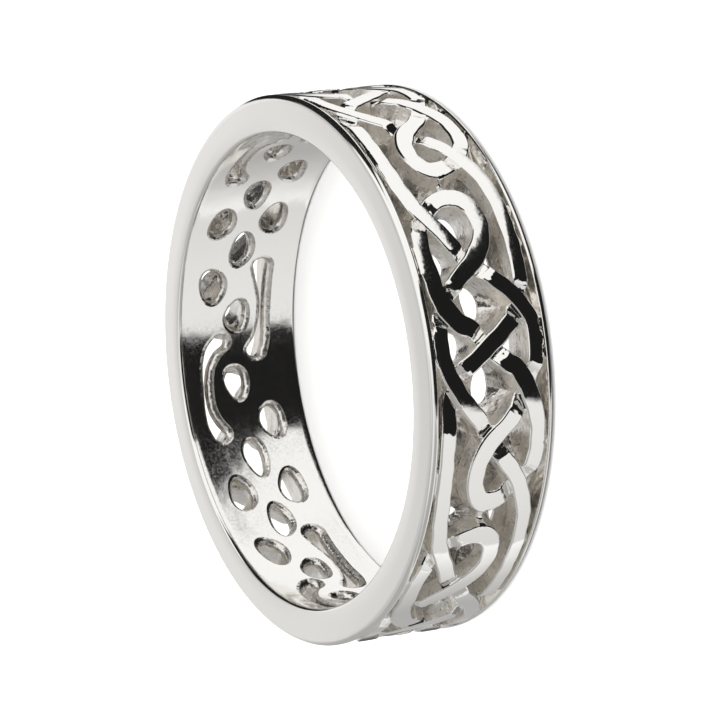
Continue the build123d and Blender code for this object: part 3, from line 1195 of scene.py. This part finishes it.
    def finished(self, parts: MeshParts) -> bpy.types.Object:
        """Makes the mesh object, with smooth tops and crisp outlines.

        Args:
            parts: the whole mesh's points and faces.

        Returns:
            The object, linked to the scene.
        """
        mesh = bpy.data.meshes.new("ring_silver")
        mesh.from_pydata([tuple(p) for p in np.vstack(parts.points)], [], parts.faces)
        mesh.polygons.foreach_set("material_index", parts.surfaces)
        work = bmesh.new()
        work.from_mesh(mesh)
        bmesh.ops.recalc_face_normals(work, faces=work.faces)
        crisp = {frozenset((int(a), int(b))) for a, b in parts.crisp}
        sharpest = math.radians(self.crisp_angle)
        loose_edges = 0
        for edge in work.edges:
            loose_edges += not edge.is_manifold
            edge.smooth = frozenset(v.index for v in edge.verts) not in crisp \
                and edge.is_manifold and edge.calc_face_angle(0) < sharpest
        for face in work.faces:
            face.smooth = True
        volume = work.calc_volume()
        if volume < 0:
            bmesh.ops.reverse_faces(work, faces=work.faces)
        work.to_mesh(mesh)
        work.free()
        self.set_normals(mesh, parts)
        log.info("volume %.1f mm3, open edges %d, triangles %d", abs(volume) / MM ** 3,
                 loose_edges, sum(len(face) - 2 for face in parts.faces))
        ring = bpy.data.objects.new("ring_silver", mesh)
        bpy.context.scene.collection.objects.link(ring)
        return ring

    def set_normals(self, mesh: bpy.types.Mesh, parts: MeshParts) -> None:
        """Gives the tops the weave's own normals, so that they mirror without facets.

        Args:
            mesh: the finished mesh, whose first faces are the tops.
            parts: what it was made from.
        """
        count = len(parts.corner_normals)
        corner_of = np.empty(len(mesh.loops), dtype=np.int32)
        mesh.loops.foreach_get("vertex_index", corner_of)
        now = corner_of[:3 * count].reshape(-1, 3)
        made = np.array(parts.faces[:count])
        which = (now[:, :, None] == made[:, None, :]).argmax(axis=2)
        normals = np.zeros((len(mesh.loops), 3))
        normals[:3 * count] = np.take_along_axis(
            parts.corner_normals, which[:, :, None], axis=1).reshape(-1, 3)
        mesh.normals_split_custom_set(normals.tolist())

    @staticmethod
    def dress(ring: bpy.types.Object) -> None:
        """Gives the ring a material for each of its surfaces.

        Args:
            ring: the mesh object as built.
        """
        # A cloth mop on a finger stick leaves the bore softer and more uneven than the tops.
        buffed = PolishedSilver(
            "sterling_silver_buffed", roughness_low=0.09, roughness_high=0.19,
            wave_height_mm=0.012)
        # Steel shot burnishes the windows' narrow ends, which stay lumpy and shine softly.
        tumbled = CastSilver(
            "sterling_silver_tumbled", light="F4F1ED", dark="DEDAD4", roughness_low=0.20,
            roughness_high=0.25, grain_height_mm=0.001, lump_mm=0.30, lump_height_mm=0.055)
        finishes = {Surface.POLISHED: PolishedSilver(), Surface.CAST: CastSilver(),
                    Surface.SATIN: SatinSilver(), Surface.BUFFED: buffed,
                    Surface.TUMBLED: tumbled}
        for surface in Surface:
            ring.data.materials.append(finishes[surface].material())


def linear(colour: str) -> tuple[float, float, float, float]:
    """A colour written as six sRGB hex digits, as the linear values that a shader takes."""
    parts = [int(colour[k:k + 2], 16) / 255 for k in (0, 2, 4)]
    return tuple(c / 12.92 if c <= 0.04045 else ((c + 0.055) / 1.055) ** 2.4
                 for c in parts) + (1.0,)


def add_node(tree: bpy.types.NodeTree, kind: str, inputs: dict | None = None,
             **settings: object) -> bpy.types.Node:
    """Adds a node with its settings, values and links.

    Args:
        tree: the node tree.
        kind: the node's type.
        inputs: a value or another node's output socket for each input's name.
        settings: the node's own properties.

    Returns:
        The new node.
    """
    node = tree.nodes.new(kind)
    for name, value in settings.items():
        setattr(node, name, value)
    for name, value in (inputs or {}).items():
        if isinstance(value, bpy.types.NodeSocket):
            tree.links.new(value, node.inputs[name])
        else:
            node.inputs[name].default_value = value
    return node


def new_metal(name: str) -> tuple[bpy.types.Material, bpy.types.NodeTree, bpy.types.Node,
                                  bpy.types.NodeSocket]:
    """Starts the material of a bare metal.

    Args:
        name: the material's name.

    Returns:
        The material, its node tree, its shader, and the place on the object in metres.
    """
    material = bpy.data.materials.new(name)
    material.use_nodes = True
    tree = material.node_tree
    shader = tree.nodes["Principled BSDF"]
    shader.inputs["Metallic"].default_value = 1.0
    return material, tree, shader, add_node(tree, "ShaderNodeTexCoord").outputs["Object"]


@dataclass(frozen=True)
class PolishedSilver:
    """Sterling silver, polished on a felt wheel: a clear mirror with a faint waviness.

    A real wheel's hairlines are finer, and are drawn as coarse as they need to show. The
    two noise values are the ends of the texture's own spread, as with the cast silver.
    """

    name: str = "sterling_silver_polished"
    colour: str = "F4F2EE"
    roughness_low: float = 0.03
    roughness_high: float = 0.09
    wave_mm: float = 0.9
    wave_height_mm: float = 0.008
    scratch_mm: float = 0.10
    scratch_height_mm: float = 0.0006
    noise_low: float = 0.35
    noise_high: float = 0.70

    def material(self) -> bpy.types.Material:
        """Makes the material.

        Returns:
            The material, with its nodes.
        """
        material, tree, shader, place = new_metal(self.name)
        wave = add_node(tree, "ShaderNodeTexNoise", {
            "Vector": place, "Scale": 1 / (self.wave_mm * MM), "Detail": 1.0})
        scratch = add_node(tree, "ShaderNodeTexNoise", {
            "Vector": place, "Scale": 1 / (self.scratch_mm * MM), "Detail": 3.0})
        rough = add_node(tree, "ShaderNodeMapRange", {
            "Value": scratch.outputs["Fac"], "From Min": self.noise_low,
            "From Max": self.noise_high,
            "To Min": self.roughness_low, "To Max": self.roughness_high})
        low = add_node(tree, "ShaderNodeBump", {
            "Height": wave.outputs["Fac"], "Strength": 1.0,
            "Distance": self.wave_height_mm * MM})
        high = add_node(tree, "ShaderNodeBump", {
            "Height": scratch.outputs["Fac"], "Strength": 1.0,
            "Distance": self.scratch_height_mm * MM, "Normal": low.outputs["Normal"]})
        tree.links.new(rough.outputs["Result"], shader.inputs["Roughness"])
        tree.links.new(high.outputs["Normal"], shader.inputs["Normal"])
        shader.inputs["Base Color"].default_value = linear(self.colour)
        return material


@dataclass(frozen=True)
class CastSilver:
    """Sterling silver as it came from the mould: pale, lumpy and only half bright."""

    name: str = "sterling_silver_as_cast"
    light: str = "FAF7F1"
    dark: str = "ECE7DF"
    roughness_low: float = 0.26
    roughness_high: float = 0.54
    grain_mm: float = 0.09
    grain_height_mm: float = 0.010
    lump_mm: float = 0.42
    lump_height_mm: float = 0.062
    noise_low: float = 0.35
    noise_high: float = 0.65

    def material(self) -> bpy.types.Material:
        """Makes the material.

        Returns:
            The material, with its nodes.
        """
        material, tree, shader, place = new_metal(self.name)
        grain = add_node(tree, "ShaderNodeTexNoise", {
            "Vector": place, "Scale": 1 / (self.grain_mm * MM), "Detail": 4.0})
        lump = add_node(tree, "ShaderNodeTexNoise", {
            "Vector": place, "Scale": 1 / (self.lump_mm * MM), "Detail": 2.0})
        tone = add_node(tree, "ShaderNodeMix", {
            "Factor": lump.outputs["Fac"], "A": linear(self.dark),
            "B": linear(self.light)}, data_type="RGBA")
        rough = add_node(tree, "ShaderNodeMapRange", {
            "Value": grain.outputs["Fac"], "From Min": self.noise_low,
            "From Max": self.noise_high,
            "To Min": self.roughness_low, "To Max": self.roughness_high})
        lumps = add_node(tree, "ShaderNodeBump", {
            "Height": lump.outputs["Fac"], "Strength": 1.0,
            "Distance": self.lump_height_mm * MM})
        bump = add_node(tree, "ShaderNodeBump", {
            "Height": grain.outputs["Fac"], "Strength": 1.0,
            "Distance": self.grain_height_mm * MM, "Normal": lumps.outputs["Normal"]})
        tree.links.new(tone.outputs["Result"], shader.inputs["Base Color"])
        tree.links.new(rough.outputs["Result"], shader.inputs["Roughness"])
        tree.links.new(bump.outputs["Normal"], shader.inputs["Normal"])
        return material


@dataclass(frozen=True)
class SatinSilver:
    """Sterling silver, rubbed flat on fine paper: a soft sheen with lines round the edge.

    Fine paper leaves finer lines, and they are drawn as coarse as they need to show.
    """

    name: str = "sterling_silver_satin"
    colour: str = "F2F0EC"
    roughness: float = 0.26
    mean_radius_mm: float = 10.0
    line_mm: float = 0.05
    line_length_mm: float = 2.5
    line_height_mm: float = 0.0010
    wave_mm: float = 7.0
    wave_height_mm: float = 0.14

    def material(self) -> bpy.types.Material:
        """Makes the material.

        Returns:
            The material, with its nodes.
        """
        material, tree, shader, place = new_metal(self.name)
        parts = add_node(tree, "ShaderNodeSeparateXYZ", {"Vector": place})
        reach = add_node(tree, "ShaderNodeVectorMath", {0: place}, operation="LENGTH")
        angle = add_node(tree, "ShaderNodeMath", {
            0: parts.outputs["Y"], 1: parts.outputs["X"]}, operation="ARCTAN2")
        across = add_node(tree, "ShaderNodeMath", {
            0: reach.outputs["Value"], 1: 1 / (self.line_mm * MM)}, operation="MULTIPLY")
        along = add_node(tree, "ShaderNodeMath", {
            0: angle.outputs["Value"], 1: self.mean_radius_mm / self.line_length_mm},
            operation="MULTIPLY")
        lines_at = add_node(tree, "ShaderNodeCombineXYZ", {
            "X": along.outputs["Value"], "Y": across.outputs["Value"]})
        lines = add_node(tree, "ShaderNodeTexNoise", {
            "Vector": lines_at.outputs["Vector"], "Scale": 1.0, "Detail": 3.0})
        wave = add_node(tree, "ShaderNodeTexNoise", {
            "Vector": place, "Scale": 1 / (self.wave_mm * MM), "Detail": 0.0})
        waves = add_node(tree, "ShaderNodeBump", {
            "Height": wave.outputs["Fac"], "Strength": 1.0,
            "Distance": self.wave_height_mm * MM})
        bump = add_node(tree, "ShaderNodeBump", {
            "Height": lines.outputs["Fac"], "Strength": 1.0,
            "Distance": self.line_height_mm * MM, "Normal": waves.outputs["Normal"]})
        tree.links.new(bump.outputs["Normal"], shader.inputs["Normal"])
        shader.inputs["Base Color"].default_value = linear(self.colour)
        shader.inputs["Roughness"].default_value = self.roughness
        return material


@dataclass(frozen=True)
class PhotoCamera:
    """A long lens held a little over the ring, and turned so that the ring looks upright."""

    elevation: float = 29.248
    roll: float = -97.001
    distance_mm: float = 172.5
    aim_right_mm: float = 0.3717
    aim_up_mm: float = 0.1594
    lens: float = 225.0
    sensor: float = 36.0
    clip: tuple[float, float] = (0.01, 20.0)

    def add(self, size: RingSize) -> None:
        """Makes the camera and gives it to the scene.

        Args:
            size: the ring's sizes, for the middle that the camera looks at.
        """
        rise, roll = math.radians(self.elevation), math.radians(self.roll)
        back = Vector((0, -math.cos(rise), math.sin(rise)))
        level = Vector((1, 0, 0))
        steep = Vector((0, math.sin(rise), math.cos(rise)))
        right = math.cos(roll) * level + math.sin(roll) * steep
        up = -math.sin(roll) * level + math.cos(roll) * steep
        camera = bpy.data.cameras.new("camera")
        camera.lens = self.lens
        camera.sensor_width = self.sensor
        camera.clip_start, camera.clip_end = self.clip
        holder = bpy.data.objects.new("camera", camera)
        turn = Matrix((right, up, back)).transposed()
        place = MM * (self.aim_right_mm * right + self.aim_up_mm * up
                      + self.distance_mm * back + Vector((0, 0, size.width / 2)))
        holder.matrix_world = Matrix.Translation(place) @ turn.to_4x4()
        bpy.context.scene.collection.objects.link(holder)
        bpy.context.scene.camera = holder


@dataclass(frozen=True)
class Card:
    """A card that the silver mirrors, as ranges of direction in degrees.

    Elevations are below the ring where negative. A lean moves a side of the card by so
    many degrees of azimuth for each degree that it lies under the middle elevation.
    """

    azimuths: tuple[float, float]
    elevations: tuple[float, float]
    tone: float
    leans: tuple[float, float] = (0.0, 0.0)
    softness: float = 2.5
    middle: float = -29.25

    def laid_over(self, tree: bpy.types.NodeTree, tone: bpy.types.NodeSocket,
                  azimuth: bpy.types.NodeSocket,
                  elevation: bpy.types.NodeSocket) -> bpy.types.NodeSocket:
        """Lays the card over what is mirrored already.

        Args:
            tree: the world's node tree.
            tone: brightness without the card.
            azimuth: the direction's azimuth in degrees.
            elevation: the direction's elevation in degrees.

        Returns:
            Brightness with the card.
        """
        bounds = [(1, self.azimuths[0], self.leans[0], azimuth),
                  (-1, self.azimuths[1], self.leans[1], azimuth),
                  (1, self.elevations[0], 0.0, elevation),
                  (-1, self.elevations[1], 0.0, elevation)]
        inside = None
        for sign, bound, lean, angle in bounds:
            leaning = add_node(tree, "ShaderNodeMath", {
                0: elevation, 1: lean, 2: angle}, operation="MULTIPLY_ADD")
            reach = add_node(tree, "ShaderNodeMath", {
                0: leaning.outputs["Value"], 1: sign,
                2: -sign * (bound + lean * self.middle)}, operation="MULTIPLY_ADD")
            if inside is None:
                inside = reach
            else:
                inside = add_node(tree, "ShaderNodeMath", {
                    0: inside.outputs["Value"], 1: reach.outputs["Value"]},
                    operation="MINIMUM")
        cover = add_node(tree, "ShaderNodeMapRange", {
            "Value": inside.outputs["Value"], "From Min": -self.softness / 2,
            "From Max": self.softness / 2})
        mixed = add_node(tree, "ShaderNodeMix", {
            "Factor": cover.outputs["Result"], "A": tone, "B": self.tone})
        return mixed.outputs["Result"]


@dataclass(frozen=True)
class Studio:
    """A white tent round a pale floor, with cards that the silver mirrors.

    The camera stands at an azimuth of -90 degrees, and 0 is on its right before its roll.
    Each of the tones is an azimuth and the tent's brightness there.
    """

    floor_half: float = 1.5
    floor_colour: str = "F4F4F3"
    floor_roughness: float = 0.9
    background: str = "FAFAFA"
    tent_strength: float = 1.05
    floor_light: float = 2.2
    tones: tuple[tuple[float, float], ...] = (
        (-180, 0.72), (-150, 0.80), (-120, 0.84), (-52, 0.98), (0, 1.0), (50, 0.98),
        (75, 0.86), (105, 0.74), (120, 0.44), (140, 0.44), (160, 0.60), (180, 0.72))
    cards: tuple[Card, ...] = (
        # The dark ground under the ring.
        Card((-400, 400), (-91, -60), 0.10, softness=14),
        # The dark side where the camera stands, with two low wings on the right.
        Card((-114, -62), (-91, 50), 0.012),
        Card((-90, -46), (-91, -8), 0.012, leans=(0.0, 5.0)),
        Card((-90, 2), (-91, -33.5), 0.012, softness=3),
        # The dark card on the right.
        Card((-12, 67), (-21, 46), 0.012, softness=4),
        # The grey sides of the tent, behind and on the left.
        Card((118, 179), (-14, 55), 0.42, softness=16),
        Card((60, 130), (31, 60), 0.56, softness=10),
        Card((-182, -116), (-12, 52), 0.40, softness=14),
        Card((95, 182), (-91, -42), 0.22, softness=8),
        # The dark strip low behind, which the edge's rounding mirrors.
        Card((68, 112), (-56, -22), 0.12, softness=8),
    )

    def light(self) -> None:
        """Makes the tent of light with its cards, and its plain background."""
        world = bpy.data.worlds.new("tent")
        bpy.context.scene.world = world
        world.use_nodes = True
        tree = world.node_tree
        tree.nodes.clear()
        towards = add_node(tree, "ShaderNodeTexCoord").outputs["Generated"]
        parts = add_node(tree, "ShaderNodeSeparateXYZ", {"Vector": towards})
        turn = add_node(tree, "ShaderNodeMath", {
            0: parts.outputs["Y"], 1: parts.outputs["X"]}, operation="ARCTAN2")
        rise = add_node(tree, "ShaderNodeMath", {0: parts.outputs["Z"]}, operation="ARCSINE")
        azimuth, elevation = (
            add_node(tree, "ShaderNodeMath", {0: angle.outputs["Value"]}, operation="DEGREES")
            .outputs["Value"] for angle in (turn, rise))
        share = add_node(tree, "ShaderNodeMapRange", {
            "Value": azimuth, "From Min": -180.0, "From Max": 180.0})
        ramp = add_node(tree, "ShaderNodeValToRGB", {"Fac": share.outputs["Result"]})
        elements = ramp.color_ramp.elements
        for number, (angle, brightness) in enumerate(self.tones):
            at = (angle + 180) / 360
            element = elements[number] if number < 1 else elements.new(at)
            element.position = at
            element.color = (brightness, brightness, brightness, 1)
        elements.remove(elements[len(elements) - 1])
        tone = ramp.outputs["Color"]
        for card in self.cards:
            tone = card.laid_over(tree, tone, azimuth, elevation)
        tent = add_node(tree, "ShaderNodeBackground", {
            "Color": tone, "Strength": self.tent_strength})
        plain = add_node(tree, "ShaderNodeBackground", {
            "Color": linear(self.background), "Strength": self.floor_light})
        mirrored = add_node(tree, "ShaderNodeLightPath").outputs["Is Glossy Ray"]
        mixed = add_node(tree, "ShaderNodeMixShader", {
            0: mirrored, 1: plain.outputs["Background"], 2: tent.outputs["Background"]})
        add_node(tree, "ShaderNodeOutputWorld", {"Surface": mixed.outputs["Shader"]})

    def floor(self) -> None:
        """Makes the pale floor, which the polished silver doesn't mirror."""
        mesh = bpy.data.meshes.new("floor")
        edge = self.floor_half
        mesh.from_pydata([(-edge, -edge, 0), (edge, -edge, 0), (edge, edge, 0),
                          (-edge, edge, 0)], [], [(0, 1, 2, 3)])
        floor = bpy.data.objects.new("floor", mesh)
        bpy.context.scene.collection.objects.link(floor)
        material = bpy.data.materials.new("studio_paper")
        material.use_nodes = True
        shader = material.node_tree.nodes["Principled BSDF"]
        shader.inputs["Base Color"].default_value = linear(self.floor_colour)
        shader.inputs["Roughness"].default_value = self.floor_roughness
        mesh.materials.append(material)
        floor.visible_glossy = False


def main() -> None:
    """Builds the ring and its studio, and reports each piece."""
    logging.basicConfig(level=logging.INFO, format="%(name)s: %(message)s")
    size = RingSize.from_frame()
    PhotoCamera().add(size)
    weave = Weave(size)
    band = PiercedBand(size, weave, GapCutter(weave))
    ring = band.build()
    band.dress(ring)
    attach(ring, "root")
    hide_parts("ring_band")
    log.info("%s: %d faces", ring.name, len(ring.data.polygons))
    studio = Studio()
    studio.light()
    studio.floor()
    bpy.context.scene.view_settings.view_transform = "Standard"


if __name__ == "__main__":
    main()
